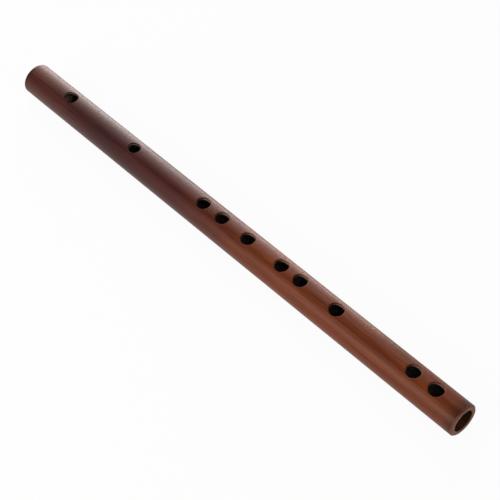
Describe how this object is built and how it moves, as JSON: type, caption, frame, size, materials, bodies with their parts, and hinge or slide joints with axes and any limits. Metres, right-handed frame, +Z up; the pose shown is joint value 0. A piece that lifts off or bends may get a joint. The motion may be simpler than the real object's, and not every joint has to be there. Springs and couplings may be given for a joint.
{
  "type": "bamboo flute",
  "caption": "Side-blown bamboo flute: a straight stained tube with an oval blow hole, a row of tone holes and a cork stopper inside the head.",
  "frame": {"origin": "on the bore's axis, half way between the head rim and the foot rim", "axes": "+X along the bore from the head to the open foot, +Z up through the row of finger holes, +Y across the tube"},
  "size_m": [0.382, 0.021, 0.021],
  "materials": {
    "stained_bamboo": "red-brown stain under satin lacquer",
    "cork": "bare cork"
  },
  "bodies": {
    "root": {"bamboo_tube": "stained_bamboo", "cork_stopper": "cork"}
  },
  "joints": []
}
